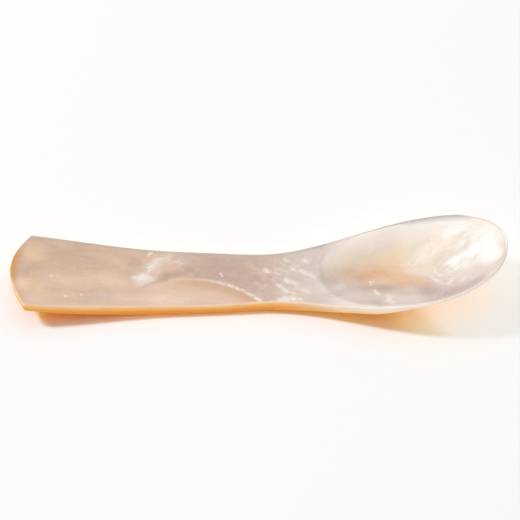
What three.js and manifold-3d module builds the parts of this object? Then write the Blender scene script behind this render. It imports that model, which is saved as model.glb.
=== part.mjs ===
// Caviar spoon, carved from one plate of pearl-oyster shell.
// Millimetres, +Z up. +X runs from the handle to the bowl's tip, and the spoon rests on the plane Z = 0.
// The plate shows two grown-together layers at its cut edge: pale nacre on top, golden shell below.

import * as THREE from 'three';
import { mergeVertices } from 'three/addons/utils/BufferGeometryUtils.js';
import Module from 'manifold-3d';

const wasm = await Module();
wasm.setup();

// Plan outline. Places are measured from the neck, back along the handle or ahead into the bowl.
const HANDLE_LENGTH = 51; // neck to the crown of the handle's end
const BOWL_LENGTH = 48; // neck to the bowl's tip
const END_WIDTH = 18.8; // across the corners of the handle's end
const END_CROWN = 3.1; // how far the end's arc stands out past its corners
const END_CORNER_RADIUS = 0.7;
const SHOULDER_WIDTH = 15.5;
const SHOULDER_BACK = 23;
const WAIST_WIDTH = 14.3;
const WAIST_BACK = 9;
const NECK_WIDTH = 13.2;
const BOWL_WIDTH = 23.1;
const WIDEST_AHEAD = 30.5; // place of the bowl's greatest width
const TIP_FULLNESS = 2.2; // exponent of the outline past it: 2 is an ellipse
const TIP_LEAN = 0.85; // how far the bowl's tip leans to +Y

// Side profile of the top face: lowest behind the neck, swept up to both ends, straight past the widest place
const LOW_BACK = 10;
const HANDLE_SWEEP_RADIUS = 238;
const BOWL_SWEEP_RADIUS = 152;

// Thicknesses
const END_THICKNESS = 1.9;
const HANDLE_THICKNESS = 2.5; // at the shoulder
const NECK_THICKNESS = 2.2; // at the low place
const BOWL_WALL = 1.5; // under the hollow's middle
const RIM_WALL = 1.1; // upright part of the bowl's outer edge, where the belly is on the table
const FRONT_RIM_WALL = 0.8; // the same from the widest place to the tip
const EDGE_RADIUS = 0.35; // rounding of the handle's lower edges
const BELLY_AHEAD = 20.5; // where the bowl's underside comes down to the table
const BELLY_FULLNESS = 2.2; // exponent of the belly's section under the bowl's front: 2 is a parabola

// The hollow
const HOLLOW_DEPTH = 4.6;
const HOLLOW_FULLNESS = 2.5; // exponent of the hollow's bed: 2 is a paraboloid, more is fuller
const HOLLOW_BACK_AHEAD = 11; // its back edge
const HOLLOW_BACK_ROUND = 10; // length over which its back edge rounds off
const HOLLOW_BACK_SQUARENESS = 2.6; // exponent of that rounding: 2 is an ellipse
const HOLLOW_SKEW = 1; // how far the back edge leans to +Y
const RIM_WIDTH = 0.65;

// The layers
const PEARL_ON_HANDLE = 0.45;
const PEARL_AT_RIM = 1.3;
const PEARL_UNDER_HOLLOW = 0.6;
const BOND_GAP = 0.05;

// How far cutting solids reach past what they cut
const OVERREACH = 5;

// Mesh fineness
const CORNER_STEPS = 3;
const HANDLE_STEPS = 16;
const BOWL_STEPS = 12;
const TIP_STEPS = 9;
const COLUMNS = 18;
const HOLLOW_SPOKES = 48;
const HOLLOW_RINGS = [0.2, 0.4, 0.58, 0.74, 0.88, 1.06]; // the last one stands clear of the top face
const WELD = 1e-4;

// Places on the X axis, with the middle of the whole length at 0
const NECK_X = (HANDLE_LENGTH - BOWL_LENGTH) / 2;
const CORNER_X = NECK_X - HANDLE_LENGTH + END_CROWN;
const SHOULDER_X = NECK_X - SHOULDER_BACK;
const WAIST_X = NECK_X - WAIST_BACK;
const LOW_X = NECK_X - LOW_BACK;
const BELLY_X = NECK_X + BELLY_AHEAD;
const WIDEST_X = NECK_X + WIDEST_AHEAD;
const TIP_X = NECK_X + BOWL_LENGTH;
const HOLLOW_BACK_X = NECK_X + HOLLOW_BACK_AHEAD;
const HOLLOW_FRONT_X = TIP_X - RIM_WIDTH;
const HOLLOW_CENTRE_X = (HOLLOW_BACK_X + HOLLOW_FRONT_X) / 2;
const HOLLOW_HALF_LENGTH = (HOLLOW_FRONT_X - HOLLOW_BACK_X) / 2;

const mix = THREE.MathUtils.lerp;
const ease = THREE.MathUtils.smoothstep;

// A smooth curve through [place, value] points, level at both ends, that never overshoots a point
function smoothThrough(points) {
  const secant = (i) => (points[i + 1][1] - points[i][1]) / (points[i + 1][0] - points[i][0]);
  const slope = (i) => {
    if (i === 0 || i === points.length - 1) return 0;
    const before = secant(i - 1);
    const after = secant(i);
    return before * after > 0 ? (2 * before * after) / (before + after) : 0;
  };
  return (place) => {
    const last = points.length - 2;
    const i = Math.max(0, Math.min(last, points.findIndex(([end]) => place < end) - 1));
    const piece = place >= points[last + 1][0] ? last : i;
    const [from, low] = points[piece];
    const [to, high] = points[piece + 1];
    const t = THREE.MathUtils.clamp((place - from) / (to - from), 0, 1);
    const lean = (to - from) * t * (1 - t) * (slope(piece) * (1 - t) - slope(piece + 1) * t);
    return mix(low, high, t * t * (3 - 2 * t)) + lean;
  };
}

const sideLine = smoothThrough([
  [CORNER_X, END_WIDTH / 2],
  [SHOULDER_X, SHOULDER_WIDTH / 2],
  [WAIST_X, WAIST_WIDTH / 2],
  [NECK_X, NECK_WIDTH / 2],
  [WIDEST_X, BOWL_WIDTH / 2],
]);

const handleThickness = smoothThrough([
  [CORNER_X, END_THICKNESS],
  [SHOULDER_X, HANDLE_THICKNESS],
  [LOW_X, NECK_THICKNESS],
]);

const pearlThickness = smoothThrough([
  [NECK_X, PEARL_ON_HANDLE],
  [WIDEST_X, PEARL_AT_RIM],
]);

// How far a place is from the bowl's greatest width to its tip, from 0 to 1
function tipShare(x) {
  return THREE.MathUtils.clamp((x - WIDEST_X) / (TIP_X - WIDEST_X), 0, 1);
}

// How far the outline's middle is off the X axis
function leanAt(x) {
  return TIP_LEAN * tipShare(x) ** 2;
}

// Half of the outline's width: rounded corners at the handle's end, a full quarter oval at the bowl's tip
function halfWidth(x) {
  if (x > WIDEST_X) return (BOWL_WIDTH / 2) * (1 - tipShare(x) ** TIP_FULLNESS) ** (1 / TIP_FULLNESS);
  const fromEnd = Math.min(x - CORNER_X, END_CORNER_RADIUS);
  const inset = END_CORNER_RADIUS * (1 - ellipseShare(1 - fromEnd / END_CORNER_RADIUS));
  return sideLine(x) - inset;
}

function ellipseShare(t) {
  return Math.sqrt(Math.max(0, 1 - t * t));
}

function arcRise(run, radius) {
  return radius - Math.sqrt(radius * radius - run * run);
}

function topHeight(x) {
  const run = x - LOW_X;
  if (run < 0) return NECK_THICKNESS + arcRise(run, HANDLE_SWEEP_RADIUS);
  const curved = Math.min(run, WIDEST_X - LOW_X);
  const slope = curved / Math.sqrt(BOWL_SWEEP_RADIUS ** 2 - curved ** 2);
  return NECK_THICKNESS + arcRise(curved, BOWL_SWEEP_RADIUS) + slope * (run - curved);
}

// Depth of the hollow's bed, from 0 in its middle to 1 at its edge. Past the edge it comes out negative.
function hollowDepth(share) {
  return HOLLOW_DEPTH * (1 - share ** HOLLOW_FULLNESS);
}

function middleHollowDepth(x) {
  return hollowDepth(Math.min(1, Math.abs(x - HOLLOW_CENTRE_X) / HOLLOW_HALF_LENGTH));
}

// Height of the underside on the spoon's middle line. The wall under the hollow thins to the rim's at the tip.
function keelHeight(x) {
  if (x < LOW_X) return topHeight(x) - handleThickness(x);
  const wall = (place) => mix(BOWL_WALL, FRONT_RIM_WALL, ease(place, WIDEST_X, TIP_X));
  const bowlKeel = (place) => topHeight(place) - wall(place) - middleHollowDepth(place);
  if (x > BELLY_X) return bowlKeel(x);
  return mix(0, bowlKeel(BELLY_X), ease(x, LOW_X, BELLY_X));
}

// Thickness of the uncarved blank. side runs from -1 to 1 across the spoon: a slab with rounded lower edges
// on the handle turns into a round belly under the bowl, which is flatter and has a thinner rim at the front.
function blankThickness(x, side) {
  const half = halfWidth(x);
  const middle = topHeight(x) - keelHeight(x);
  const belly = ease(x, WAIST_X, BELLY_X);
  const front = ease(x, BELLY_X, WIDEST_X);
  const roundWide = Math.min(half, mix(EDGE_RADIUS, half, belly));
  const roundHigh = mix(EDGE_RADIUS, middle - mix(RIM_WALL, FRONT_RIM_WALL, front), belly);
  const intoRound = Math.max(0, Math.abs(side) * half - (half - roundWide));
  const share = roundWide > 0 ? intoRound / roundWide : 1;
  const drop = mix(1 - ellipseShare(share), share ** BELLY_FULLNESS, front);
  return middle - roundHigh * drop;
}

// Places of the blank's cross lines: close together where the outline turns
function crossLines() {
  const lines = [];
  for (let i = 0; i < CORNER_STEPS; i++) {
    const turn = (i / CORNER_STEPS) * (Math.PI / 2);
    lines.push(CORNER_X + END_CORNER_RADIUS * (1 - Math.cos(turn)));
  }
  const start = CORNER_X + END_CORNER_RADIUS;
  for (let i = 0; i < HANDLE_STEPS; i++) lines.push(mix(start, NECK_X, i / HANDLE_STEPS));
  for (let i = 0; i < BOWL_STEPS; i++) lines.push(mix(NECK_X, WIDEST_X, i / BOWL_STEPS));
  for (let i = 0; i <= TIP_STEPS; i++) {
    lines.push(WIDEST_X + (TIP_X - WIDEST_X) * Math.sin((i / TIP_STEPS) * (Math.PI / 2)));
  }
  return lines;
}

// One cross line of the blank as two rows of points, from +Y to -Y, bowed out with the handle's end
function crossLine(x) {
  const half = halfWidth(x);
  const nearEnd = Math.max(0, 1 - (x - CORNER_X) / (SHOULDER_X - CORNER_X));
  const upper = [];
  const lower = [];
  for (let i = 0; i <= COLUMNS; i++) {
    const side = Math.cos((i / COLUMNS) * Math.PI);
    const bowed = x - END_CROWN * nearEnd ** 2 * (1 - side * side);
    const across = side * half + leanAt(x);
    const top = topHeight(bowed);
    upper.push(new THREE.Vector3(bowed, across, top));
    lower.push(new THREE.Vector3(bowed, across, top - blankThickness(x, side)));
  }
  return [...upper, ...lower.reverse()];
}

// A closed skin over a row of point rings. Each ring's first half is matched by its second half, reversed.
function loft(rings) {
  const count = rings[0].length;
  const faces = [];
  const quad = (a, b, c, d) => faces.push(a, b, c, a, c, d);
  for (let r = 0; r + 1 < rings.length; r++) {
    for (let i = 0; i < count; i++) {
      const next = (i + 1) % count;
      quad(r * count + i, r * count + next, (r + 1) * count + next, (r + 1) * count + i);
    }
  }
  const end = (rings.length - 1) * count;
  for (let i = 0; i + 1 < count / 2; i++) {
    const under = count - 1 - i;
    quad(i, under, under - 1, i + 1);
    quad(end + i, end + i + 1, end + under - 1, end + under);
  }
  const geometry = new THREE.BufferGeometry().setFromPoints(rings.flat());
  geometry.setIndex(faces);
  return geometry;
}

// The hollow's edge in plan. turn goes round from the tip towards +Y.
function hollowEdge(turn) {
  const along = Math.cos(turn);
  const across = Math.sin(turn);
  const frontHalf = BOWL_WIDTH / 2 - RIM_WIDTH;
  if (along >= 0) {
    const x = mix(WIDEST_X, HOLLOW_FRONT_X, along ** (2 / TIP_FULLNESS));
    const half = frontHalf * Math.abs(across) ** (2 / TIP_FULLNESS);
    return new THREE.Vector2(x, Math.sign(across) * half + leanAt(x));
  }
  const x = WIDEST_X + (WIDEST_X - HOLLOW_BACK_X) * along;
  const square = HOLLOW_BACK_SQUARENESS;
  const short = Math.max(0, 1 - (x - HOLLOW_BACK_X) / HOLLOW_BACK_ROUND);
  const half = (sideLine(x) - RIM_WIDTH) * (1 - short ** square) ** (1 / square);
  return new THREE.Vector2(x, Math.sign(across) * half + HOLLOW_SKEW * along * along);
}

// The solid that is ground away for the hollow, let down by a distance
function hollowCutter(down) {
  const points = [];
  const centre = new THREE.Vector2(HOLLOW_CENTRE_X, 0);
  const add = (place, height) => points.push(new THREE.Vector3(place.x, place.y, height));
  add(centre, topHeight(centre.x) - hollowDepth(0) - down);
  const widest = HOLLOW_RINGS.at(-1);
  for (const [ring, share] of [...HOLLOW_RINGS, widest].entries()) {
    const isLid = ring === HOLLOW_RINGS.length;
    for (let i = 0; i < HOLLOW_SPOKES; i++) {
      const edge = hollowEdge((i / HOLLOW_SPOKES) * 2 * Math.PI);
      const place = centre.clone().lerp(edge, share);
      add(place, topHeight(place.x) + (isLid ? OVERREACH : -hollowDepth(share) - down));
    }
  }
  add(centre, topHeight(centre.x) + OVERREACH);

  const faces = [];
  const lidCentre = points.length - 1;
  const at = (ring, i) => 1 + ring * HOLLOW_SPOKES + (i % HOLLOW_SPOKES);
  for (let i = 0; i < HOLLOW_SPOKES; i++) {
    faces.push(0, at(0, i + 1), at(0, i));
    for (let ring = 0; ring < HOLLOW_RINGS.length; ring++) {
      faces.push(at(ring, i), at(ring, i + 1), at(ring + 1, i + 1));
      faces.push(at(ring, i), at(ring + 1, i + 1), at(ring + 1, i));
    }
    faces.push(lidCentre, at(HOLLOW_RINGS.length, i), at(HOLLOW_RINGS.length, i + 1));
  }
  const geometry = new THREE.BufferGeometry().setFromPoints(points);
  geometry.setIndex(faces);
  return solid(geometry);
}

// Everything below the line where the pearl layer ends on the flat parts of the top face, let down by a distance
function belowPearl(down) {
  const outline = new THREE.Shape();
  const bottom = -OVERREACH;
  const places = [CORNER_X - END_CROWN - OVERREACH, ...crossLines(), TIP_X + OVERREACH];
  outline.moveTo(places[0], bottom);
  for (const x of places) outline.lineTo(x, topHeight(x) - pearlThickness(x) - down);
  outline.lineTo(places.at(-1), bottom);
  const reach = Math.max(BOWL_WIDTH, END_WIDTH) / 2 + OVERREACH;
  const geometry = new THREE.ExtrudeGeometry(outline, { depth: 2 * reach, bevelEnabled: false });
  geometry.rotateX(Math.PI / 2);
  geometry.translate(0, reach, 0);
  return solid(geometry);
}

// The block below the table, which leaves the flats that the spoon rests on
function belowTable() {
  const length = 2 * (HANDLE_LENGTH + BOWL_LENGTH);
  const width = 2 * Math.max(BOWL_WIDTH, END_WIDTH);
  const geometry = new THREE.BoxGeometry(length, width, OVERREACH);
  geometry.translate(0, 0, -OVERREACH / 2);
  return solid(geometry);
}

function solid(geometry) {
  const bare = new THREE.BufferGeometry();
  bare.setAttribute('position', geometry.getAttribute('position'));
  bare.setIndex(geometry.getIndex());
  const welded = mergeVertices(bare, WELD);
  const index = welded.getIndex().array;
  const faces = [];
  for (let i = 0; i < index.length; i += 3) {
    const [a, b, c] = index.slice(i, i + 3);
    if (a !== b && b !== c && c !== a) faces.push(a, b, c);
  }
  const vertProperties = new Float32Array(welded.getAttribute('position').array);
  const mesh = new wasm.Mesh({ numProp: 3, vertProperties, triVerts: new Uint32Array(faces) });
  return new wasm.Manifold(mesh);
}

function meshOf(name, body, look) {
  const { vertProperties, triVerts } = body.getMesh();
  const geometry = new THREE.BufferGeometry();
  geometry.setAttribute('position', new THREE.BufferAttribute(vertProperties, 3));
  geometry.setIndex(new THREE.BufferAttribute(triVerts, 1));
  geometry.computeVertexNormals();
  const mesh = new THREE.Mesh(geometry, new THREE.MeshStandardMaterial(look));
  mesh.name = name;
  return mesh;
}

function pearlLayer(blank) {
  const below = belowPearl(0).subtract(hollowCutter(PEARL_UNDER_HOLLOW));
  const body = blank.subtract(hollowCutter(0)).subtract(below);
  return meshOf('pearl_layer', body, { color: '#e4cfb9', roughness: 0.25, metalness: 0 });
}

function goldenLayer(blank) {
  const body = blank
    .intersect(belowPearl(BOND_GAP))
    .subtract(hollowCutter(PEARL_UNDER_HOLLOW + BOND_GAP));
  return meshOf('golden_layer', body, { color: '#d99a45', roughness: 0.3, metalness: 0 });
}

const blank = solid(loft(crossLines().map(crossLine))).subtract(belowTable());
const spoon = new THREE.Group();
spoon.add(pearlLayer(blank), goldenLayer(blank));

export default spoon;
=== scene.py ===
"""Caviar spoon of pearl-oyster shell: a nacre face on a golden back, and a plain stage.
Laid out as an add-on."""
import math
from collections import namedtuple

import bmesh
import bpy
from mathutils import Color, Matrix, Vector


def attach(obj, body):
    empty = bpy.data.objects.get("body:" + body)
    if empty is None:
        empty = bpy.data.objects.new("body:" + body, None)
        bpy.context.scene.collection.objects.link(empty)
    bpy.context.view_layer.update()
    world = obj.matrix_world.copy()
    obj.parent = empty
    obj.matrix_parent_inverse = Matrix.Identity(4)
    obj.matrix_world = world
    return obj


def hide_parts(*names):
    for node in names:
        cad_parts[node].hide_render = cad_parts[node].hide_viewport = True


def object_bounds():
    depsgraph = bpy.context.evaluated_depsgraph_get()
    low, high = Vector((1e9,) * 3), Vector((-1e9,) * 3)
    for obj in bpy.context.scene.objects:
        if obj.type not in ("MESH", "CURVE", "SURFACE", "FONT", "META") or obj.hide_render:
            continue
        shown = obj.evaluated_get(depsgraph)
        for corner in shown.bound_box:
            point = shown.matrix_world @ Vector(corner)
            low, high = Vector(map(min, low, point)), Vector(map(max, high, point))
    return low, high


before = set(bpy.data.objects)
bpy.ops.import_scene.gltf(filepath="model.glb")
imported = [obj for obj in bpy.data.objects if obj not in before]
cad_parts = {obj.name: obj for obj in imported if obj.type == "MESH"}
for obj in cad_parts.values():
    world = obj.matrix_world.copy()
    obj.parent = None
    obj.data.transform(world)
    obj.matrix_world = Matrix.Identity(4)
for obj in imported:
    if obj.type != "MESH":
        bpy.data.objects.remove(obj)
CAD_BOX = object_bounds()

bl_info = {
    "name": "Caviar spoon",
    "version": (1, 0, 0),
    "blender": (4, 5, 0),
    "location": "View3D > Sidebar > Spoon",
    "description": "Models a mother-of-pearl caviar spoon on its CAD frame and sets a stage for it",
    "category": "Object",
}

MM = 0.001
FULL_TURN = 2 * math.pi

# Fineness of the meshes, in rows and columns of faces
SPOKES = 160
HOLLOW_RINGS = 18
RIM_RINGS = 3
BOWL_RINGS = HOLLOW_RINGS + RIM_RINGS
HANDLE_COLUMNS = 36
HANDLE_ROWS = 100
CORNER_ROWS = 6
ALL_ROWS = HANDLE_ROWS + CORNER_ROWS
EDGE_STEPS = 4
LIP_CROWDING = 1.6
SMOOTH_ANGLE = math.radians(40)

# The handle's faces grow from the back of the bowl's outer ring, between this turn and its mirror image
SEAM_TURN = FULL_TURN * (SPOKES - HANDLE_COLUMNS) / 2 / SPOKES
HALF_FACE = 0.5
EDGE_STEP = 0.05

# In rim widths: how far the seam is ahead of the hollow's back edge, and how far it bows back round it
SEAM_AHEAD = 2
SEAM_BOW = 3

# Share of a thin rim's height that is nacre, so that the golden layer never runs out to nothing
MOST_NACRE = 0.9

# Turns round the hollow between which its edge starts to fade, and between which it has come back
FADING_STARTS = (0.55 * math.pi, 0.70 * math.pi)
FADING_ENDS = (1.02 * math.pi, 0.92 * math.pi)


def length(name, millimetres, description):
    """A size in the panel."""
    return bpy.props.FloatProperty(
        name=name, description=description, default=millimetres * MM, min=0.0, unit="LENGTH", precision=5)


def number(name, value, description):
    """A plain number in the panel."""
    return bpy.props.FloatProperty(name=name, description=description, default=value, min=0.0)


def tint(name, colour, description):
    """A colour in the panel, written as it looks on a screen."""
    return bpy.props.FloatVectorProperty(
        name=name, description=description, default=colour, size=3, min=0.0, max=1.0, subtype="COLOR_GAMMA")


class SpoonShape(bpy.types.PropertyGroup):
    """Sizes of the spoon."""

    handle_length: length("Handle length", 51, "From the neck to the crown of the handle's end")
    bowl_length: length("Bowl length", 48, "From the neck to the bowl's tip")
    end_width: length("End width", 18.8, "Across the corners of the handle's end")
    end_crown: length("End crown", 3.1, "How far the end's arc stands out past its corners")
    end_corner_radius: length("End corner radius", 0.7, "Rounding of the end's two corners")
    shoulder_width: length("Shoulder width", 15.5, "Width of the handle's middle")
    shoulder_back: length("Shoulder place", 23, "From the neck back to the handle's middle")
    waist_width: length("Waist width", 14.3, "Width between the handle's middle and the neck")
    waist_back: length("Waist place", 9, "From the neck back to the waist")
    neck_width: length("Neck width", 13.2, "Width of the narrowest place")
    bowl_width: length("Bowl width", 23.1, "Greatest width of the bowl")
    widest_ahead: length("Widest place", 30.5, "From the neck to the bowl's greatest width")
    tip_fullness: number("Tip fullness", 2.2, "Exponent of the tip's outline, 2 for an ellipse")
    tip_lean: length("Tip lean", 0.85, "How far the bowl's tip leans to +Y")
    low_back: length("Low place", 10, "From the neck back to the lowest place of the top face")
    handle_sweep: length("Handle sweep radius", 238, "Radius of the handle's upward sweep")
    bowl_sweep: length("Bowl sweep radius", 152, "Radius of the bowl's upward sweep")
    end_thickness: length("End thickness", 1.9, "Thickness at the handle's end")
    handle_thickness: length("Handle thickness", 2.5, "Thickness of the handle's middle")
    neck_thickness: length("Neck thickness", 2.2, "Thickness at the low place")
    bowl_wall: length("Bowl wall", 1.5, "Thickness under the hollow's middle")
    rim_wall: length("Rim wall", 1.1, "Height of the bowl's upright edge at the belly place")
    front_rim_wall: length("Front rim wall", 0.8, "The same from the widest place to the tip")
    belly_ahead: length("Belly place", 20.5, "From the neck to where the belly is on the table")
    belly_fullness: number("Belly fullness", 2.2, "Exponent of the belly's section under the bowl's front")
    hollow_depth: length("Hollow depth", 4.6, "Depth of the hollow's middle")
    hollow_fullness: number("Hollow fullness", 2.5, "Exponent of the hollow's bed, 2 for a paraboloid")
    hollow_back_ahead: length("Hollow back", 11, "From the neck to the hollow's back edge")
    hollow_back_round: length("Hollow back rounding", 10, "Length over which the back edge rounds off")
    hollow_back_square: number("Hollow back squareness", 2.6, "Exponent of that rounding, 2 for an ellipse")
    hollow_skew: length("Hollow skew", 1, "How far the hollow's back edge leans to +Y")
    rim_width: length("Rim width", 0.65, "From the hollow's edge to the outline")
    pearl_on_handle: length("Nacre on the handle", 0.45, "Thickness of the nacre on the handle")
    pearl_at_rim: length("Nacre at the rim", 1.3, "Thickness of the nacre at the bowl's widest place")
    pearl_under_hollow: length("Nacre in the hollow", 0.6, "Thickness of the nacre under the hollow")
    top_rounding: length("Top rounding", 0.22, "Rounding of the upper edge all round")
    lip_rounding: length("Lip rounding", 0.14, "Rounding of the hollow's edge")
    lip_fading: number("Lip fading", 0.5, "How softly the hollow begins at the back of its far side")
    lower_rounding: length("Lower rounding", 0.35, "Rounding of the handle's lower edge")


class NacreLook(bpy.types.PropertyGroup):
    """Colours of the nacre face."""

    tan: tint("Tan", (0.85, 0.718, 0.615), "Ground of the handle")
    rose: tint("Rose grey", (0.775, 0.665, 0.61), "Ground of the neck")
    # Dove is partly the rim's and neck's own grey and partly painted shade on the hollow's near side.
    dove: tint("Dove grey", (0.82, 0.76, 0.727), "Rim and near side of the bowl")
    # Painted shade: the grey line inside the far edge stands in for the shading of the rounded edge there.
    ash: tint("Ash", (0.72, 0.69, 0.675), "Line inside the far edge")
    # Cream is partly painted light: it lightens the hollow's far side.
    cream: tint("Cream", (0.945, 0.88, 0.80), "Far side of the bowl")
    oyster: tint("Oyster", (0.845, 0.80, 0.75), "Ground of the bowl's front")
    # Pearl is mostly painted sheen: the white highlights of the bowl's front and the tip's bright edge.
    pearl: tint("Pearl", (0.965, 0.955, 0.94), "White sheen in the bowl")
    milk: tint("Milk", (0.96, 0.915, 0.88), "Milky patches and flecks")
    blush: tint("Blush", (0.975, 0.885, 0.825), "Beads and specks")
    peach: tint("Peach", (0.915, 0.795, 0.71), "Warm pale patches")
    amber: tint("Amber", (0.86, 0.69, 0.535), "Middle of the bowl")
    # Painted glow: the golden light that shines through the thin end of the handle, painted into its colour.
    honey: tint("Honey", (0.865, 0.63, 0.37), "Golden glow at the handle's end")
    wheat: tint("Wheat", (0.935, 0.81, 0.665), "Pale yellow patches beside the glow")
    umber: tint("Umber", (0.745, 0.635, 0.565), "Dark growth streaks")
    # Painted shade: a darker colour for the bowl's near inner wall, which slopes away from the light.
    near_wall_shade: tint("Taupe", (0.68, 0.62, 0.585), "Dark part of the bowl's near side")
    # Lilac is partly the handle's own cool mottling and partly a painted sheen in the bowl; sage is a painted
    # greenish sheen.
    lilac: tint("Lilac", (0.82, 0.765, 0.75), "Cool sheen")
    sage: tint("Sage", (0.815, 0.775, 0.695), "Greenish sheen in the bowl")


class GoldenLook(bpy.types.PropertyGroup):
    """Colours of the cut edge and the golden back."""

    # Where these fall on the nacre's cut edge, near the top, they are a painted golden glow of light through
    # the thin shell.
    sand: tint("Sand", (0.95, 0.81, 0.67), "Top of the handle's cut edge")
    straw: tint("Straw", (0.98, 0.738, 0.365), "Upper part of the handle's cut edge")
    gold: tint("Gold", (0.92, 0.61, 0.22), "Ground of the golden layer")
    russet: tint("Russet", (0.82, 0.50, 0.20), "Dark growth lines")
    cream: tint("Cream", (0.965, 0.91, 0.86), "Top of the bowl's cut edge")
    butter: tint("Butter", (0.98, 0.85, 0.64), "Lower part of the bowl's cut edge")


class StageLook(bpy.types.PropertyGroup):
    """Floor, light and camera."""

    floor: tint("Floor", (1.0, 1.0, 1.0), "Colour of the floor")
    key_power: bpy.props.FloatProperty(
        name="Key light", description="Power of the soft light from the left", default=122.0, unit="POWER")
    fill_power: bpy.props.FloatProperty(
        name="Front fill", description="Power of the soft light on the near edge", default=5.4, unit="POWER")
    sky: bpy.props.FloatProperty(
        name="Sky light", description="Strength of the even light from all round", default=0.80)
    camera_height: bpy.props.FloatProperty(
        name="Camera elevation", description="Height of the view above the table, as an angle",
        default=math.radians(48), subtype="ANGLE")
    camera_distance: length("Camera distance", 400, "From the camera to the spoon")


# Small formulas

def mix(low, high, share):
    return low + (high - low) * share


def ease(low, high, place):
    share = min(1.0, max(0.0, (place - low) / (high - low)))
    return share * share * (3 - 2 * share)


def ellipse_share(t):
    return math.sqrt(max(0.0, 1 - t * t))


def arc_rise(run, radius):
    return radius - math.sqrt(radius * radius - run * run)


def smooth_through(points):
    """A curve through (place, value) points, level at both ends, that never overshoots a point."""
    def secant(i):
        return (points[i + 1][1] - points[i][1]) / (points[i + 1][0] - points[i][0])

    def slope(i):
        if i in (0, len(points) - 1):
            return 0.0
        before, after = secant(i - 1), secant(i)
        return 2 * before * after / (before + after) if before * after > 0 else 0.0

    def value(place):
        i = 0
        while i < len(points) - 2 and place >= points[i + 1][0]:
            i += 1
        (start, low), (end, high) = points[i], points[i + 1]
        t = min(1.0, max(0.0, (place - start) / (end - start)))
        lean = (end - start) * t * (1 - t) * (slope(i) * (1 - t) - slope(i + 1) * t)
        return mix(low, high, t * t * (3 - 2 * t)) + lean

    return value


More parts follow.
